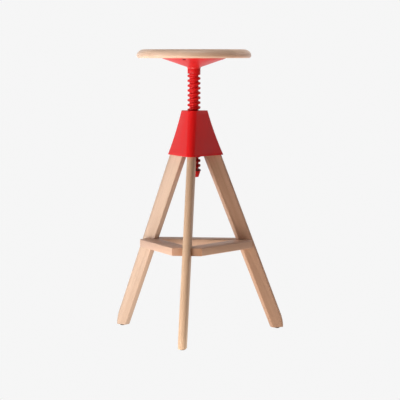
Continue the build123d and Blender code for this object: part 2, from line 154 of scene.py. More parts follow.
class BeechFinish(bpy.types.PropertyGroup):
    """Steamed beech under a clear matt lacquer."""

    pale: FloatVectorProperty(
        name="Early wood", description="Colour of the pale wood between the growth lines",
        subtype="COLOR", size=3, min=0, max=1, default=(0.75, 0.55, 0.42),
    )
    dark: FloatVectorProperty(
        name="Late wood", description="Colour of the growth lines",
        subtype="COLOR", size=3, min=0, max=1, default=(0.61, 0.42, 0.305),
    )
    fleck: FloatVectorProperty(
        name="Flecks", description="Colour of the short brown flecks along the grain",
        subtype="COLOR", size=3, min=0, max=1, default=(0.40, 0.23, 0.14),
    )
    stave: FloatProperty(
        name="Stave width", description="Width of the staves that the seat is glued up from",
        subtype="DISTANCE", unit="LENGTH", min=0.02, default=0.068,
    )
    stave_shift: FloatProperty(
        name="Stave shift", description="Distance of the seat's middle from a glue line",
        subtype="DISTANCE", unit="LENGTH", default=0.032,
    )
    figure: FloatProperty(
        name="Seat figure", description="Contrast of the seat's grain beside that of the legs",
        subtype="FACTOR", min=0, max=1, default=0.38,
    )
    # Partly painted shade: real end grain, darkened this strongly to stand in for the shade on the footrest's cut
    # corners beside the front leg.
    end: FloatProperty(
        name="End grain", description="How far legs and rails darken where they are cut across",
        subtype="FACTOR", min=0, max=1, default=0.95,
    )
    seat_end: FloatProperty(
        name="Seat end grain", description="How far the seat's rounded edge darkens where it is cut across",
        subtype="FACTOR", min=0, max=1, default=0.12,
    )
    lacquer: FloatProperty(
        name="Seat lacquer", description="Weight of the clear lacquer on the seat",
        subtype="FACTOR", min=0, max=1, default=0.4,
    )
    lean: FloatProperty(
        name="Leg lean", description="Angle of the legs from the upright, which their grain follows",
        subtype="ANGLE", default=math.radians(22.85),
    )


class RedFinish(bpy.types.PropertyGroup):
    """Polyamide moulded in red."""

    colour: FloatVectorProperty(
        name="Red", description="Colour of the hub, screw, flange and cap",
        subtype="COLOR", size=3, min=0, max=1, default=(0.70, 0.011, 0.012),
    )
    gloss: FloatProperty(
        name="Roughness", description="Roughness of the moulded surface",
        subtype="FACTOR", min=0, max=1, default=0.42,
    )
    texture: FloatProperty(
        name="Mould texture", description="Size of the fine grain that the mould leaves",
        subtype="DISTANCE", unit="LENGTH", min=0.0001, default=0.0006,
    )
    # Painted shade: the screw is made darker than the hub, flange and cap, standing in for the shade it lies in under
    # the hub.
    screw_painted_shade: FloatProperty(
        name="Screw painted shade", description="Brightness of the screw beside the other mouldings", min=0, default=0.86,
    )
    screw_shine: FloatProperty(
        name="Screw shine", description="Strength of the screw's reflections",
        subtype="FACTOR", min=0, max=1, default=0.2,
    )
    screw_gloss: FloatProperty(
        name="Screw roughness", description="Roughness of the worn thread",
        subtype="FACTOR", min=0, max=1, default=0.38,
    )
    # Painted shade: the screw's foot is darkened between these two heights, standing in for the shade under the hub and
    # between the legs.
    painted_shade: FloatProperty(
        name="Painted shade tone", description="Brightness of the greased turns at the foot of the screw",
        subtype="FACTOR", min=0, max=1, default=0.62,
    )
    painted_shade_low: FloatProperty(
        name="Painted shade below", description="Height below which the screw is fully greased", unit="LENGTH", default=0.49,
    )
    painted_shade_high: FloatProperty(
        name="Painted shade up to", description="Height above which the screw is unshaded", unit="LENGTH", default=0.57,
    )


class ScrewSizes(bpy.types.PropertyGroup):
    """The spindle's coarse thread."""

    pitch: FloatProperty(
        name="Pitch", description="Rise of the thread in one turn", unit="LENGTH", default=0.0127,
    )
    crest_r: FloatProperty(
        name="Crest radius", description="Radius over the thread", unit="LENGTH", default=0.0172,
    )
    root_r: FloatProperty(
        name="Root radius", description="Radius between the turns", unit="LENGTH", default=0.0120,
    )
    crest_w: FloatProperty(
        name="Crest width", description="Width of the flat on the thread", unit="LENGTH", default=0.0044,
    )
    foot_w: FloatProperty(
        name="Foot width", description="Width of the thread where it meets the root", unit="LENGTH", default=0.0082,
    )
    edge: FloatProperty(
        name="Edge round", description="Rounding of the thread's edges", unit="LENGTH", default=0.0007,
    )
    crest_z: FloatProperty(
        name="Crest height", description="Height of a crest on the +X side", unit="LENGTH", default=0.6765619,
    )
    neck_r: FloatProperty(
        name="Neck radius", description="Radius of the plain neck above the thread", unit="LENGTH", default=0.0170,
    )
    neck_l: FloatProperty(
        name="Neck length", description="Length of the plain neck", unit="LENGTH", default=0.013,
    )
    spigot_l: FloatProperty(
        name="Spigot", description="Length of the spigot inside the flange", unit="LENGTH", default=0.012,
    )
    tail_l: FloatProperty(
        name="Tail", description="Length of the plain tail in the stop washer", unit="LENGTH", default=0.003,
    )
    steps: IntProperty(
        name="Steps", description="Steps that the thread takes in one turn", min=12, default=64,
    )


class FastenerSizes(bpy.types.PropertyGroup):
    """Screws that show from below."""

    seat_ring: FloatProperty(
        name="Seat screw ring", description="Distance of the seat screws from the axis", unit="LENGTH", default=0.074,
    )
    seat_turn: FloatProperty(
        name="Seat screw turn", description="Angle of the first seat screw from the front", subtype="ANGLE",
        default=math.radians(-12.75),
    )
    nut_ring: FloatProperty(
        name="Nut screw ring", description="Distance of the nut screws from the axis", unit="LENGTH", default=0.033,
    )
    nut_turn: FloatProperty(
        name="Nut screw turn", description="Angle of the first nut screw from the front", subtype="ANGLE",
        default=math.radians(60),
    )


class StudioSetting(bpy.types.PropertyGroup):
    """Floor, light and camera."""

    paper: FloatProperty(
        name="Paper white", description="Brightness of the floor and the backdrop", min=0, default=0.92,
    )
    key: FloatProperty(
        name="Key light", description="Power of the large light at the left",
        subtype="POWER", unit="POWER", default=40.5,
    )
    top: FloatProperty(
        name="Top light", description="Power of the light above the seat",
        subtype="POWER", unit="POWER", default=13.5,
    )
    low: FloatProperty(
        name="Low light", description="Power of the small light near the floor at the left",
        subtype="POWER", unit="POWER", default=6.2,
    )
    fore: FloatProperty(
        name="Fore light", description="Power of the small light near the floor in front",
        subtype="POWER", unit="POWER", default=9.5,
    )
    side: FloatProperty(
        name="Side light", description="Power of the weak light behind the stool at the right",
        subtype="POWER", unit="POWER", default=5.8,
    )
    backdrop: FloatProperty(
        name="Backdrop light", description="Light that the white backdrop throws forward", min=0, default=1.1,
    )
    front: FloatProperty(
        name="Front light", description="Light that comes from the dark side behind the camera", min=0, default=0.03,
    )
    floor_near: FloatVectorProperty(
        name="Floor near", description="Light that the floor throws up around the feet",
        subtype="COLOR", size=3, min=0, soft_max=2, default=(1.32, 1.20, 1.05),
    )
    floor_round: FloatVectorProperty(
        name="Floor round", description="Light that the floor throws up at the right, away from the feet",
        subtype="COLOR", size=3, min=0, soft_max=2, default=(0.36, 0.22, 0.17),
    )
    floor_left: FloatVectorProperty(
        name="Floor left", description="Light that the floor throws up at the left, where the key light falls on it",
        subtype="COLOR", size=3, min=0, soft_max=2, default=(0.84, 0.86, 0.88),
    )
    camera_at: FloatVectorProperty(
        name="Camera", description="Place of the camera", subtype="TRANSLATION", unit="LENGTH", size=3,
        default=(0.5371, -4.4031, 0.7485),
    )
    camera_to: FloatVectorProperty(
        name="View", description="Direction that the camera looks in", subtype="DIRECTION", size=3,
        default=(-0.1171, 0.9892, -0.0880),
    )
    lens: FloatProperty(
        name="Lens", description="Focal length of the camera", subtype="DISTANCE_CAMERA", default=151.88,
    )


def node(tree, kind, inputs=None, **settings):
    """One shader node, with its settings made and each input given a value or a link."""
    made = tree.nodes.new(kind)
    for name, value in settings.items():
        setattr(made, name, value)
    for key, value in (inputs or {}).items():
        if isinstance(value, bpy.types.NodeSocket):
            tree.links.new(value, made.inputs[key])
        else:
            made.inputs[key].default_value = value
    return made


def math_node(tree, operation, a, b=0.0):
    return node(tree, "ShaderNodeMath", {0: a, 1: b}, operation=operation).outputs[0]


def stretched(tree, vector, scale):
    return node(tree, "ShaderNodeMapping", {"Vector": vector, "Scale": scale}).outputs[0]


def streaks(tree, vector, scale, detail=2.0, roughness=0.5):
    """Noise with its own scale along each axis."""
    return node(
        tree, "ShaderNodeTexNoise",
        {"Vector": stretched(tree, vector, scale), "Scale": 1.0, "Detail": detail, "Roughness": roughness},
    ).outputs


def grey(tree, value):
    """A colour with the same value in each channel."""
    return node(tree, "ShaderNodeCombineColor", {channel: value for channel in range(3)}).outputs[0]


def object_place(tree):
    return node(tree, "ShaderNodeTexCoord").outputs["Object"]


def between(tree, value, low, high, to_low=0.0, to_high=1.0):
    """A value run smoothly from one range to another."""
    return node(
        tree, "ShaderNodeMapRange",
        {"Value": value, "From Min": low, "From Max": high, "To Min": to_low, "To Max": to_high},
        interpolation_type="SMOOTHSTEP",
    ).outputs[0]


def mixed(tree, factor, a, b, blend="MIX"):
    made = node(tree, "ShaderNodeMix", data_type="RGBA", blend_type=blend)
    for socket, value in zip((made.inputs[0], made.inputs[6], made.inputs[7]), (factor, a, b)):
        if isinstance(value, bpy.types.NodeSocket):
            tree.links.new(value, socket)
        else:
            socket.default_value = value
    return made.outputs[2]


def colour4(rgb):
    return (*rgb, 1.0)


def new_group(name, inputs, outputs):
    """An empty node group with named sockets, and its two end nodes."""
    tree = bpy.data.node_groups.new(name, "ShaderNodeTree")
    for label, kind, default in inputs:
        socket = tree.interface.new_socket(label, in_out="INPUT", socket_type=kind)
        if default is not None:
            socket.default_value = default
    for label, kind in outputs:
        tree.interface.new_socket(label, in_out="OUTPUT", socket_type=kind)
    return tree, tree.nodes.new("NodeGroupInput"), tree.nodes.new("NodeGroupOutput")


def beech_group():
    """Grain along X: growth lines, fibres and brown flecks, as colour, roughness and height."""
    if "beech_grain" in bpy.data.node_groups:
        return bpy.data.node_groups["beech_grain"]
    tree, start, end = new_group(
        "beech_grain",
        [("Vector", "NodeSocketVector", None), ("Pale", "NodeSocketColor", None),
         ("Dark", "NodeSocketColor", None), ("Fleck", "NodeSocketColor", None),
         ("Tone", "NodeSocketFloat", 0.0)],
        [("Color", "NodeSocketColor"), ("Roughness", "NodeSocketFloat"), ("Height", "NodeSocketFloat")],
    )
    along = start.outputs["Vector"]
    drift = streaks(tree, along, DRIFT)["Color"]
    bent = node(tree, "ShaderNodeVectorMath", {0: drift, 1: BEND, 2: along}, operation="MULTIPLY_ADD").outputs[0]
    lines = streaks(tree, bent, GROWTH_LINES, detail=3.0, roughness=0.6)[0]
    broad = streaks(tree, bent, BROAD_BANDS)[0]
    fibre = streaks(tree, along, FIBRES)[0]
    cells = node(tree, "ShaderNodeTexVoronoi", {"Vector": stretched(tree, along, FLECKS), "Scale": 1.0}).outputs
    chance = node(tree, "ShaderNodeSeparateColor", {0: cells["Color"]}).outputs[0]
    few = math_node(tree, "GREATER_THAN", chance, FLECK_ABOVE)
    fleck = math_node(tree, "MULTIPLY", between(tree, cells["Distance"], 0.34, 0.20), few)
    fine = between(tree, lines, 0.36, 0.66, 0.0, 0.32)
    grain = math_node(tree, "ADD", fine, between(tree, broad, 0.32, 0.68, 0.0, 0.68))
    colour = mixed(tree, grain, start.outputs["Pale"], start.outputs["Dark"])
    shade = math_node(tree, "ADD", start.outputs["Tone"], between(tree, fibre, 0.25, 0.75, 0.97, 1.03))
    colour = mixed(tree, 1.0, colour, grey(tree, shade), "MULTIPLY")
    colour = mixed(tree, math_node(tree, "MULTIPLY", fleck, FLECK_WEIGHT), colour, start.outputs["Fleck"])
    tree.links.new(colour, end.inputs["Color"])
    rough = between(tree, fibre, 0.2, 0.8, 0.50, 0.60)
    rough = math_node(tree, "ADD", rough, math_node(tree, "MULTIPLY", fleck, FLECK_ROUGHNESS))
    tree.links.new(rough, end.inputs["Roughness"])
    height = math_node(tree, "MULTIPLY", fibre, FIBRE_HEIGHT)
    height = math_node(tree, "SUBTRACT", height, math_node(tree, "MULTIPLY", fleck, FLECK_DEPTH))
    tree.links.new(height, end.inputs["Height"])
    return tree


def stave_group():
    """Staves side by side along Y: each shifts the grain and has its own tone, with a fine glue line."""
    if "glued_staves" in bpy.data.node_groups:
        return bpy.data.node_groups["glued_staves"]
    tree, start, end = new_group(
        "glued_staves",
        [("Vector", "NodeSocketVector", None), ("Width", "NodeSocketFloat", 0.06)],
        [("Vector", "NodeSocketVector"), ("Tone", "NodeSocketFloat"), ("Joint", "NodeSocketFloat")],
    )
    across = node(tree, "ShaderNodeSeparateXYZ", {0: start.outputs["Vector"]}).outputs[1]
    count = math_node(tree, "DIVIDE", across, start.outputs["Width"])
    stave = math_node(tree, "FLOOR", count)
    chance = node(
        tree, "ShaderNodeTexWhiteNoise", {"W": math_node(tree, "ADD", stave, STAVE_SEED)}, noise_dimensions="1D"
    ).outputs
    moved = node(
        tree, "ShaderNodeVectorMath",
        {0: chance["Color"], 1: STAVE_MOVE, 2: start.outputs["Vector"]}, operation="MULTIPLY_ADD",
    )
    tree.links.new(moved.outputs[0], end.inputs["Vector"])
    tree.links.new(between(tree, chance["Value"], 0.0, 1.0, -0.02, 0.07), end.inputs["Tone"])
    edge = math_node(tree, "PINGPONG", count, 0.5)
    tree.links.new(between(tree, edge, SEAM_HALF, 0.0), end.inputs["Joint"])
    return tree


def moulding_group():
    """Fine texture and faint flow marks of a moulded plastic, as tone, roughness and height."""
    if "moulded_texture" in bpy.data.node_groups:
        return bpy.data.node_groups["moulded_texture"]
    tree, start, end = new_group(
        "moulded_texture",
        [("Vector", "NodeSocketVector", None), ("Grain", "NodeSocketFloat", 0.0006), ("Gloss", "NodeSocketFloat", 0.4)],
        [("Tone", "NodeSocketFloat"), ("Roughness", "NodeSocketFloat"), ("Height", "NodeSocketFloat")],
    )
    scale = math_node(tree, "DIVIDE", 1.0, start.outputs["Grain"])
    fine = node(tree, "ShaderNodeTexNoise", {"Vector": start.outputs["Vector"], "Scale": scale, "Detail": 2.0})
    flow = streaks(tree, start.outputs["Vector"], FLOW_MARKS, detail=3.0)[0]
    tree.links.new(between(tree, flow, 0.3, 0.7, 0.94, 1.04), end.inputs["Tone"])
    rough = math_node(tree, "ADD", start.outputs["Gloss"], between(tree, flow, 0.3, 0.7, -0.04, 0.05))
    tree.links.new(rough, end.inputs["Roughness"])
    tree.links.new(fine.outputs[0], end.inputs["Height"])
    return tree


def new_material(name):
    """A material with only a Principled shader and its output."""
    made = bpy.data.materials.new(name)
    made.use_nodes = True
    made.node_tree.nodes.clear()
    shader = made.node_tree.nodes.new("ShaderNodeBsdfPrincipled")
    out = made.node_tree.nodes.new("ShaderNodeOutputMaterial")
    made.node_tree.links.new(shader.outputs[0], out.inputs[0])
    return made, made.node_tree, shader


def raised(tree, shader, height, depth):
    bump = node(tree, "ShaderNodeBump", {"Height": height, "Distance": depth, "Strength": 1.0})
    tree.links.new(bump.outputs[0], shader.inputs["Normal"])


def toned(colour, tone):
    return colour4([part * by for part, by in zip(colour, tone)])


def beech(name, grain, finish, tone, end, figure=1.0, stave=0.0, shift=0.0, lacquer=0.0):
    """Beech of one tone, in one board or in staves, whose grain runs in a given direction.

    The end is how far it darkens where it is cut across, on the legs and rails partly as painted shade, and the figure
    is the contrast of its grain.
    """
    made, tree, shader = new_material(name)
    run = Vector(grain).normalized()
    turn = run.rotation_difference(Vector((1, 0, 0))).to_euler()
    surface = node(tree, "ShaderNodeTexCoord")
    grain_at = node(
        tree, "ShaderNodeMapping",
        {"Vector": surface.outputs["Object"], "Rotation": turn, "Location": (0.0, shift, 0.0)},
    ).outputs[0]
    dark, fleck = (Vector(finish.pale).lerp(Vector(colour), figure) for colour in (finish.dark, finish.fleck))
    wood = node(
        tree, "ShaderNodeGroup",
        {"Vector": grain_at, "Pale": toned(finish.pale, tone), "Dark": toned(dark, tone),
         "Fleck": toned(fleck, tone)},
        node_tree=beech_group(),
    )
    colour = wood.outputs["Color"]
    if stave:
        staves = node(tree, "ShaderNodeGroup", {"Vector": grain_at, "Width": stave}, node_tree=stave_group())
        tree.links.new(staves.outputs["Vector"], wood.inputs["Vector"])
        tree.links.new(staves.outputs["Tone"], wood.inputs["Tone"])
        seam = math_node(tree, "MULTIPLY", staves.outputs["Joint"], SEAM_WEIGHT)
        colour = mixed(tree, seam, colour, toned(finish.fleck, tone))
    facing = node(
        tree, "ShaderNodeVectorMath", {0: surface.outputs["Normal"], 1: run}, operation="DOT_PRODUCT"
    ).outputs["Value"]
    # End grain darkening; on the legs and rails it is strong enough to be partly painted shade.
    across = between(tree, math_node(tree, "ABSOLUTE", facing), *CUT_ACROSS, 0.0, end)
    colour = mixed(tree, across, colour, toned(finish.fleck, tone))
    tree.links.new(colour, shader.inputs["Base Color"])
    tree.links.new(wood.outputs["Roughness"], shader.inputs["Roughness"])
    shader.inputs["Specular IOR Level"].default_value = WOOD_SHINE
    shader.inputs["Coat Weight"].default_value = lacquer
    shader.inputs["Coat Roughness"].default_value = LACQUER_ROUGHNESS
    raised(tree, shader, wood.outputs["Height"], SKIN_DEPTH)
    return made


def moulded(name, colour, gloss, grain, shine=0.3, shade_painted=None):
    """A moulded plastic in one colour, with painted shade darkening it towards its foot if two heights and a tone are
    given.
    """
    made, tree, shader = new_material(name)
    place = object_place(tree)
    skin = node(tree, "ShaderNodeGroup", {"Vector": place, "Grain": grain, "Gloss": gloss}, node_tree=moulding_group())
    shade = skin.outputs["Tone"]
    # Painted shade: darker towards the foot, below the given heights.
    if shade_painted:
        height = node(tree, "ShaderNodeSeparateXYZ", {0: place}).outputs[2]
        shade = math_node(tree, "MULTIPLY", shade, between(tree, height, *shade_painted, 1.0))
    tree.links.new(mixed(tree, 1.0, colour4(colour), grey(tree, shade), "MULTIPLY"), shader.inputs["Base Color"])
    tree.links.new(skin.outputs["Roughness"], shader.inputs["Roughness"])
    shader.inputs["Specular IOR Level"].default_value = shine
    raised(tree, shader, skin.outputs["Height"], SKIN_DEPTH)
    return made


def steel_with(name, dark, bright):
    """Plated or blackened steel with faint turning marks."""
    made, tree, shader = new_material(name)
    place = object_place(tree)
    marks = streaks(tree, place, TURNING_MARKS, detail=3.0)[0]
    patch = node(tree, "ShaderNodeTexNoise", {"Vector": place, "Scale": STEEL_PATCHES, "Detail": 2.0}).outputs[0]
    tree.links.new(mixed(tree, patch, colour4(dark), colour4(bright)), shader.inputs["Base Color"])
    tree.links.new(between(tree, marks, 0.3, 0.7, 0.28, 0.42), shader.inputs["Roughness"])
    shader.inputs["Metallic"].default_value = 1.0
    raised(tree, shader, marks, MARK_DEPTH)
    return made


def finish_with(piece, material):
    piece.data.materials.clear()
    piece.data.materials.append(material)


def deselect():
    if bpy.context.object and bpy.context.object.mode != "OBJECT":
        bpy.ops.object.mode_set(mode="OBJECT")
    bpy.ops.object.select_all(action="DESELECT")


def make_active(piece):
    deselect()
    piece.select_set(True)
    bpy.context.view_layer.objects.active = piece


def seated(piece, body, slot, *nodes):
    """Rides the finished piece on its body in place of the plain nodes that it stands for."""
    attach(piece, body)
    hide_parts(*nodes)


def softened(name, source, edge):
    """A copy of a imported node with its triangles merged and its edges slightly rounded."""
    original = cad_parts[source]
    piece = bpy.data.objects.new(name, original.data.copy())
    bpy.context.scene.collection.objects.link(piece)
    make_active(piece)
    bpy.ops.object.mode_set(mode="EDIT")
    bpy.ops.mesh.select_all(action="SELECT")
    bpy.ops.mesh.remove_doubles(threshold=WELD)
    bpy.ops.mesh.dissolve_limited(angle_limit=FLAT)
    bpy.ops.object.mode_set(mode="OBJECT")
    if edge:
        rounded(piece, edge)
    bpy.ops.object.shade_smooth_by_angle(angle=SHARP)
    return piece


def rod(name, radius, low, high, edge, turn=0.0):
    """A round bar on the axis, its facets turned by an angle and its ends slightly rounded."""
    deselect()
    bpy.ops.mesh.primitive_cylinder_add(
        vertices=ROD_SIDES, radius=radius, depth=high - low, location=(0, 0, (low + high) / 2), rotation=(0, 0, turn)
    )
    piece = bpy.context.object
    piece.name = name
    bpy.ops.object.transform_apply(location=True, rotation=True, scale=True)
    if edge:
        rounded(piece, edge)
    return piece


def rounded(piece, edge, segments=2):
    """Rounds the sharp edges of a piece."""
    make_active(piece)
    bevel = piece.modifiers.new("edges", "BEVEL")
    bevel.width = edge
    bevel.segments = segments
    bevel.limit_method = "ANGLE"
    bevel.angle_limit = SHARP
    bpy.ops.object.modifier_apply(modifier="edges")


def joined(piece, *others):
    """Several meshes as one piece."""
    deselect()
    for other in (*others, piece):
        other.select_set(True)
    bpy.context.view_layer.objects.active = piece
    bpy.ops.object.join()
    bpy.ops.object.shade_smooth_by_angle(angle=SHARP_ROD)
    return piece


def pan_screw(name, head_r, head_h, shank_r, shank_l):
    """A screw with its head down at the origin, domed, with a cross recess, and its shank above."""
    head = rod(name, head_r, 0.0, head_h, 0.0)
    bpy.ops.object.mode_set(mode="EDIT")
    bpy.ops.mesh.select_mode(type="EDGE")
    bpy.ops.mesh.select_all(action="DESELECT")
    bpy.ops.object.mode_set(mode="OBJECT")
    for edge in head.data.edges:
        edge.select = all(head.data.vertices[v].co.z < head_h / 2 for v in edge.vertices)
    bpy.ops.object.mode_set(mode="EDIT")
    bpy.ops.mesh.bevel(offset=head_h * DOME, segments=5, profile=0.5, clamp_overlap=True)
    bpy.ops.object.mode_set(mode="OBJECT")
    for turn in (0.0, math.pi / 2):
        deselect()
        bpy.ops.mesh.primitive_cube_add(size=1.0, location=(0, 0, 0), rotation=(0, 0, turn))
        cutter = bpy.context.object
        cutter.scale = (head_r * RECESS[0], head_r * RECESS[1], head_h * RECESS[2])
        bpy.ops.object.transform_apply(location=True, rotation=True, scale=True)
        cut = head.modifiers.new("recess", "BOOLEAN")
        cut.operation = "DIFFERENCE"
        cut.object = cutter
        make_active(head)
        bpy.ops.object.modifier_apply(modifier="recess")
        bpy.data.objects.remove(cutter)
    shank = rod(name + "_shank", shank_r, head_h, head_h + shank_l, 0.0)
    return joined(head, shank)


class STOOL_OT_wood(bpy.types.Operator):
    """Finish the seat, legs, footrest and dowels in beech, with the grain along each piece"""

    bl_idname = "stool.wood"
    bl_label = "Beech pieces"

    def execute(self, context):
        finish = context.scene.stool_beech
        seat = softened("seat", "seat_disc", 0.0)
        board = beech(
            "beech_seat", SEAT_GRAIN, finish, SEAT_TONE, finish.seat_end, finish.figure,
            finish.stave, finish.stave_shift, finish.lacquer,
        )
        finish_with(seat, board)
        seated(seat, "seat_unit", "beech", "seat_disc")
        for name, turn in LEG_TURNS.items():
            leg = softened(name + "_leg", "leg_" + name, WOOD_EDGE)
            run = (math.sin(finish.lean) * math.cos(math.radians(turn)),
                   math.sin(finish.lean) * math.sin(math.radians(turn)), -math.cos(finish.lean))
            finish_with(leg, beech(f"beech_{name}_leg", run, finish, LEG_TONES[name], finish.end))
            seated(leg, "base", "beech", "leg_" + name)
        for name, turn in RAIL_TURNS.items():
            rail = softened(name + "_rail", "footrest_rail_" + name, WOOD_EDGE)
            run = (math.cos(math.radians(turn)), math.sin(math.radians(turn)), 0.0)
            finish_with(rail, beech(f"beech_{name}_rail", run, finish, RAIL_TONES[name], finish.end))
            seated(rail, "base", "beech", "footrest_rail_" + name)
        dowel = beech("beech_dowels", DOWEL_GRAIN, finish, SEAT_TONE, finish.end)
        finish_with(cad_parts["footrest_dowels"], dowel)
        return {"FINISHED"}


class STOOL_OT_spindle(bpy.types.Operator):
    """Model the spindle with its round thread"""

    bl_idname = "stool.spindle"
    bl_label = "Screw spindle"

    def execute(self, context):
        sizes = context.scene.stool_screw
        low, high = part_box("screw_spindle")
        neck_top = high.z - sizes.spigot_l
        neck_foot = neck_top - sizes.neck_l
        spindle = self.thread(sizes, low.z + sizes.tail_l, neck_foot)
        neck = rod("neck", sizes.neck_r, neck_foot, neck_top, sizes.edge)
        spigot = rod("spigot", sizes.root_r, neck_top, high.z, sizes.edge)
        tail = rod("tail", sizes.root_r, low.z, low.z + sizes.tail_l, 0.0, math.pi / sizes.steps)
        joined(spindle, neck, spigot, tail)
        red = context.scene.stool_red
        # Painted shade: the screw's red is darkened against the other mouldings.
        shade = [part * red.screw_painted_shade for part in red.colour]
        # Painted shade on the screw's foot, below the given heights.
        painted_shade = (red.painted_shade_low, red.painted_shade_high, red.painted_shade)
        finish_with(spindle, moulded("red_screw", shade, red.screw_gloss, red.texture, red.screw_shine, painted_shade))
        seated(spindle, "seat_unit", "red_polyamide", "screw_spindle")
        return {"FINISHED"}

    def thread(self, sizes, bottom, top):
        """One pitch of the thread's outline, screwed up the spindle and cut off square at both ends."""
        # It starts more than a turn below the lower cut, and ends above the upper one.
        turns = math.ceil((top - bottom) / sizes.pitch) + 2
        base = sizes.crest_z - sizes.pitch * math.ceil((sizes.crest_z - bottom) / sizes.pitch + 1)
        deselect()
        bpy.ops.mesh.primitive_plane_add(size=DOT, location=(0, 0, 0))
        piece = bpy.context.object
        piece.name = "spindle"
        bpy.ops.object.mode_set(mode="EDIT")
        bpy.ops.mesh.select_all(action="SELECT")
        bpy.ops.mesh.merge(type="CENTER")
        outline = [
            (sizes.root_r, -sizes.pitch / 2), (sizes.root_r, -sizes.foot_w / 2), (sizes.crest_r, -sizes.crest_w / 2),
            (sizes.crest_r, sizes.crest_w / 2), (sizes.root_r, sizes.foot_w / 2), (sizes.root_r, sizes.pitch / 2),
        ]
        here = (0.0, 0.0)
        for count, (x, z) in enumerate(outline):
            step = (x - here[0], 0.0, z - here[1] + (base if count == 0 else 0.0))
            if count == 0:
                bpy.ops.transform.translate(value=step)
            else:
                bpy.ops.mesh.extrude_region_move(TRANSFORM_OT_translate={"value": step})
            here = (x, z)
        bpy.ops.object.mode_set(mode="OBJECT")
        screw = piece.modifiers.new("screw", "SCREW")
        screw.axis = "Z"
        screw.angle = 2 * math.pi
        screw.screw_offset = sizes.pitch
        screw.iterations = turns
        screw.steps = screw.render_steps = sizes.steps
        screw.use_merge_vertices = True
        screw.use_normal_calculate = True
        make_active(piece)
        bpy.ops.object.modifier_apply(modifier="screw")
        bpy.ops.object.mode_set(mode="EDIT")
        bpy.ops.mesh.select_all(action="SELECT")
        bpy.ops.mesh.remove_doubles(threshold=THREAD_WELD)
        bpy.ops.mesh.normals_make_consistent(inside=False)
        bpy.ops.object.mode_set(mode="OBJECT")
        rounded(piece, sizes.edge, segments=3)
        bpy.ops.object.mode_set(mode="EDIT")
        for height, up in ((bottom, 1), (top, -1)):
            bpy.ops.mesh.select_all(action="SELECT")
            bpy.ops.mesh.bisect(
                plane_co=(0, 0, height), plane_no=(0, 0, up), use_fill=True, clear_inner=True, threshold=THREAD_CUT
            )
        bpy.ops.mesh.select_all(action="SELECT")
        bpy.ops.mesh.normals_make_consistent(inside=False)
        bpy.ops.object.mode_set(mode="OBJECT")
        return piece


class STOOL_OT_mouldings(bpy.types.Operator):
    """Finish the hub, the flange and the end cap as red mouldings"""

    bl_idname = "stool.mouldings"
    bl_label = "Red mouldings"

    def execute(self, context):
        red = context.scene.stool_red
        for name, source, body, edge, tone, shine in MOULDINGS:
            piece = softened(name, source, edge)
            # The tone paints light and shade into the red: lighter on the flange, darker on the cap.
            shade = [part * tone for part in red.colour]
            finish_with(piece, moulded("red_" + name, shade, red.gloss, red.texture, shine))
            seated(piece, body, "red_polyamide", source)
        return {"FINISHED"}


class STOOL_OT_small_parts(bpy.types.Operator):
    """Finish the nut, the stop washer, the glides and the fasteners that stay hidden"""

    bl_idname = "stool.small_parts"
    bl_label = "Small parts"

    def execute(self, context):
        nut = softened("nut", "spindle_nut", SMALL_EDGE)
        finish_with(nut, moulded("grey_acetal", *ACETAL))
        seated(nut, "base", "grey_acetal", "spindle_nut")
        ring = softened("stop_ring", "stop_washer", SMALL_EDGE)
        finish_with(ring, moulded("dark_red_rubber", *RUBBER))
        seated(ring, "lift_stop", "dark_red_rubber", "stop_washer")
        for name in LEG_TURNS:
            glide = softened(name + "_glide", "glide_" + name, 0.0)
            finish_with(glide, moulded(f"dark_{name}_glide", *GLIDE))
            seated(glide, "base", "dark_plastic", "glide_" + name)
        steel = steel_with("zinc_steel", *ZINC)
        for name in ("flange_bolt", "leg_screws", "glide_nails"):
            finish_with(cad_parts[name], steel)
        return {"FINISHED"}


class STOOL_OT_screws(bpy.types.Operator):
    """Model the seat screws, the nut screws and the cap screw, with their recesses"""

    bl_idname = "stool.screws"
    bl_label = "Screws"

    def execute(self, context):
        sizes = context.scene.stool_fasteners
        black = steel_with("black_steel", *BLACK_STEEL)
        zinc = steel_with("zinc_screws", *ZINC)
        seat_screw = pan_screw("seat_screw", *SEAT_SCREW)
        self.ring(seat_screw, "seat_screws", sizes.seat_ring, sizes.seat_turn, black, "seat_unit", "black_steel")
        nut_screw = pan_screw("nut_screw", *NUT_SCREW)
        self.ring(nut_screw, "nut_screws", sizes.nut_ring, sizes.nut_turn, zinc, "base", "zinc_steel")
        cap_screw = pan_screw("cap_screw", *CAP_SCREW)
        self.ring(cap_screw, "end_cap_screw", 0.0, 0.0, zinc, "seat_unit", "zinc_steel", count=1)
        return {"FINISHED"}

    def ring(self, first, source, radius, turn, finish, body, slot, count=3):
        """Copies of one screw, heads down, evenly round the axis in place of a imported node."""
        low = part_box(source)[0].z
        name = first.name
        copies = []
        for i in range(count):
            copy = first
            if i:
                make_active(first)
                bpy.ops.object.duplicate()
                copy = bpy.context.object
            copies.append(copy)
        for i, copy in enumerate(copies):
            around = turn + i * 2 * math.pi / count
            make_active(copy)
            bpy.ops.transform.translate(value=(radius * math.sin(around), -radius * math.cos(around), low))
            bpy.ops.object.transform_apply(location=True, rotation=True, scale=True)
            copy.name = f"{name}_{i + 1}" if count > 1 else name
            finish_with(copy, finish)
            seated(copy, body, slot, source)


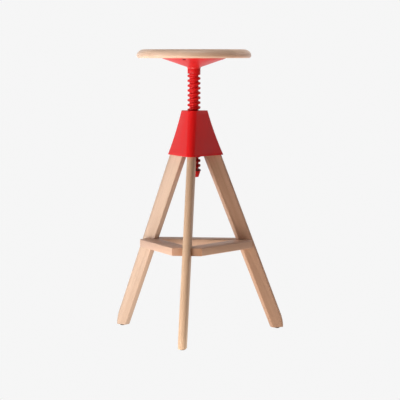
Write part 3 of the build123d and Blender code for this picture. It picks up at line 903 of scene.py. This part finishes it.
class STOOL_OT_stage(bpy.types.Operator):
    """Set the white floor, the studio light and the camera"""

    bl_idname = "stool.stage"
    bl_label = "Studio"

    def execute(self, context):
        studio = context.scene.stool_studio
        self.floor(studio)
        self.surround(context.scene, studio)
        for name, setting in LIGHTS.items():
            self.light(name + "_light", getattr(studio, name), *setting)
        lens = bpy.data.cameras.new("camera")
        lens.lens = studio.lens
        lens.sensor_width = SENSOR_W
        lens.clip_end = CLIP_END
        camera = bpy.data.objects.new("camera", lens)
        camera.location = studio.camera_at
        camera.rotation_euler = Vector(studio.camera_to).to_track_quat("-Z", "Y").to_euler()
        context.scene.collection.objects.link(camera)
        context.scene.camera = camera
        context.scene.view_settings.view_transform = "Standard"
        return {"FINISHED"}

    def floor(self, studio):
        """White paper that looks even, and throws up most light by the front foot and more at the left."""
        deselect()
        bpy.ops.mesh.primitive_plane_add(size=FLOOR_SIZE, location=FLOOR_AT)
        floor = bpy.context.object
        floor.name = "floor"
        bpy.ops.object.transform_apply(location=True, rotation=True, scale=True)
        made, tree, shader = new_material("white_paper")
        shader.inputs["Base Color"].default_value = BLACK
        shader.inputs["Roughness"].default_value = 1.0
        shader.inputs["Specular IOR Level"].default_value = 0.0
        place = object_place(tree)
        away = node(tree, "ShaderNodeVectorMath", {0: place, 1: FOOT_AT}, operation="DISTANCE").outputs["Value"]
        x, y = node(tree, "ShaderNodeSeparateXYZ", {0: place}).outputs[:2]
        right = between(tree, x, *LEFT_TO_RIGHT)
        further = mixed(tree, right, colour4(studio.floor_left), colour4(studio.floor_round))
        thrown = mixed(tree, between(tree, away, *FOOT_FADE), colour4(studio.floor_near), further)
        thrown = mixed(tree, between(tree, y, *TO_BACKDROP), thrown, WHITE)
        seen = node(tree, "ShaderNodeLightPath").outputs["Is Camera Ray"]
        paper = colour4([studio.paper] * 3)
        tree.links.new(mixed(tree, seen, thrown, paper), shader.inputs["Emission Color"])
        shader.inputs["Emission Strength"].default_value = 1.0
        finish_with(floor, made)

    def surround(self, scene, studio):
        """A white backdrop that lights the stool from behind, and a dark room behind the camera."""
        world = bpy.data.worlds.new("surround")
        world.use_nodes = True
        tree = world.node_tree
        tree.nodes.clear()
        towards = node(tree, "ShaderNodeTexCoord").outputs["Generated"]
        facing = node(
            tree, "ShaderNodeVectorMath", {0: towards, 1: BACKDROP_TO}, operation="DOT_PRODUCT"
        ).outputs["Value"]
        up = node(tree, "ShaderNodeSeparateXYZ", {0: towards}).outputs[2]
        behind = math_node(
            tree, "MULTIPLY", between(tree, facing, *BACKDROP_SIDES), between(tree, up, *BACKDROP_TOP)
        )
        thrown = between(tree, behind, 0.0, 1.0, studio.front, studio.backdrop)
        seen = node(tree, "ShaderNodeBackground", {"Color": WHITE, "Strength": studio.paper}).outputs[0]
        lit = node(tree, "ShaderNodeBackground", {"Color": WHITE, "Strength": thrown}).outputs[0]
        ray = node(tree, "ShaderNodeLightPath").outputs["Is Camera Ray"]
        mix = node(tree, "ShaderNodeMixShader", {0: ray, 1: lit, 2: seen}).outputs[0]
        node(tree, "ShaderNodeOutputWorld", {0: mix})
        scene.world = world

    def light(self, name, power, place, target, size, colour):
        lamp = bpy.data.lights.new(name, "AREA")
        lamp.energy = power
        lamp.size = size
        lamp.color = colour
        lit = bpy.data.objects.new(name, lamp)
        lit.location = place
        lit.rotation_euler = (Vector(target) - Vector(place)).to_track_quat("-Z", "Y").to_euler()
        lit.visible_camera = False
        bpy.context.scene.collection.objects.link(lit)


class STOOL_PT_panel(bpy.types.Panel):
    """The stool's pieces and finishes, in the sidebar"""

    bl_label = "Screw bar stool"
    bl_space_type = "VIEW_3D"
    bl_region_type = "UI"
    bl_category = "Stool"

    def draw(self, context):
        for label, settings in SETTINGS.items():
            box = self.layout.box()
            box.label(text=label)
            group = getattr(context.scene, settings[0])
            for name in settings[1].__annotations__:
                box.prop(group, name)
        for operator in OPERATORS:
            self.layout.operator(operator.bl_idname)


SETTINGS = {
    "Beech": ("stool_beech", BeechFinish),
    "Red mouldings": ("stool_red", RedFinish),
    "Screw": ("stool_screw", ScrewSizes),
    "Fasteners": ("stool_fasteners", FastenerSizes),
    "Studio": ("stool_studio", StudioSetting),
}
OPERATORS = (
    STOOL_OT_wood, STOOL_OT_spindle, STOOL_OT_mouldings, STOOL_OT_small_parts, STOOL_OT_screws, STOOL_OT_stage,
)


def register():
    for name, group in SETTINGS.values():
        bpy.utils.register_class(group)
        setattr(bpy.types.Scene, name, PointerProperty(type=group))
    for made in (*OPERATORS, STOOL_PT_panel):
        bpy.utils.register_class(made)


def unregister():
    for made in (STOOL_PT_panel, *reversed(OPERATORS)):
        bpy.utils.unregister_class(made)
    for name, group in SETTINGS.values():
        delattr(bpy.types.Scene, name)
        bpy.utils.unregister_class(group)


def main():
    register()
    bpy.ops.stool.wood()
    bpy.ops.stool.spindle()
    bpy.ops.stool.mouldings()
    bpy.ops.stool.small_parts()
    bpy.ops.stool.screws()
    bpy.ops.stool.stage()


if __name__ == "__main__":
    main()
